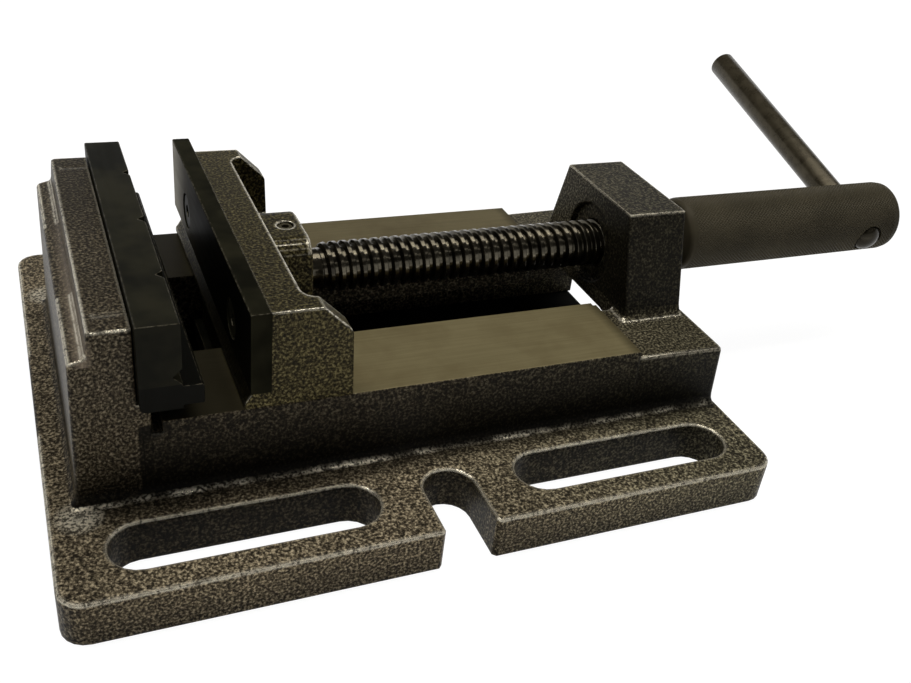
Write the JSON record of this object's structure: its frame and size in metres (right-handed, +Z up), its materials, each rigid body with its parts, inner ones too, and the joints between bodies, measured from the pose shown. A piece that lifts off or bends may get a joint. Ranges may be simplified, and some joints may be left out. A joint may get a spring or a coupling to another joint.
{
  "type": "drill press vise",
  "caption": "Drill press vise with a slotted flange, prismatic jaw plates, a sliding jaw on ground ways and a screw with a knurled handle and tommy bar.",
  "frame": {"origin": "underside of the base, on the vise's centre line, straight below the clamping face of the fixed jaw plate", "axes": "+X along the spindle from the fixed jaw to the handle, +Z up from the underside, +Y across the jaws so that the frame is right-handed"},
  "size_m": [0.2729, 0.1642, 0.0702],
  "materials": {
    "hammertone_paint": "hammered",
    "black_oxide_steel": "satin",
    "oiled_steel": "oiled",
    "blackened_steel": "knurled",
    "bright_steel": "polished",
    "zinc_plate": "satin"
  },
  "bodies": {
    "base": {"base_casting": "hammertone_paint", "fixed_jaw_plate": "black_oxide_steel", "fixed_plate_screw_near": "black_oxide_steel", "fixed_plate_screw_far": "black_oxide_steel"},
    "sliding_jaw": {"moving_jaw": "hammertone_paint", "moving_jaw_plate": "black_oxide_steel", "moving_plate_screw_near": "black_oxide_steel", "moving_plate_screw_far": "black_oxide_steel", "keeper_plate": "black_oxide_steel", "keeper_screw_near": "zinc_plate", "keeper_screw_far": "zinc_plate", "keeper_washer_near": "zinc_plate", "keeper_washer_far": "zinc_plate", "spindle_set_screw": "black_oxide_steel", "thrust_pad": "zinc_plate"},
    "spindle": {"spindle_screw": "oiled_steel", "handle_barrel": "blackened_steel", "tommy_bar": "bright_steel"}
  },
  "joints": [
    {"name": "jaw_slide", "type": "slide", "parent": "base", "child": "sliding_jaw", "axis": [1, 0, 0], "range_m": [-0.0098, 0.08]},
    {"name": "spindle_spin", "type": "hinge", "parent": "sliding_jaw", "child": "spindle", "pos_m": [0.1, 0, 0.0408], "axis": [1, 0, 0], "range_deg": [-1176, 9600]}
  ],
  "couplings": [
    {"joint": "jaw_slide", "follows": "spindle_spin", "m_per_rad": 0.00047746}
  ]
}
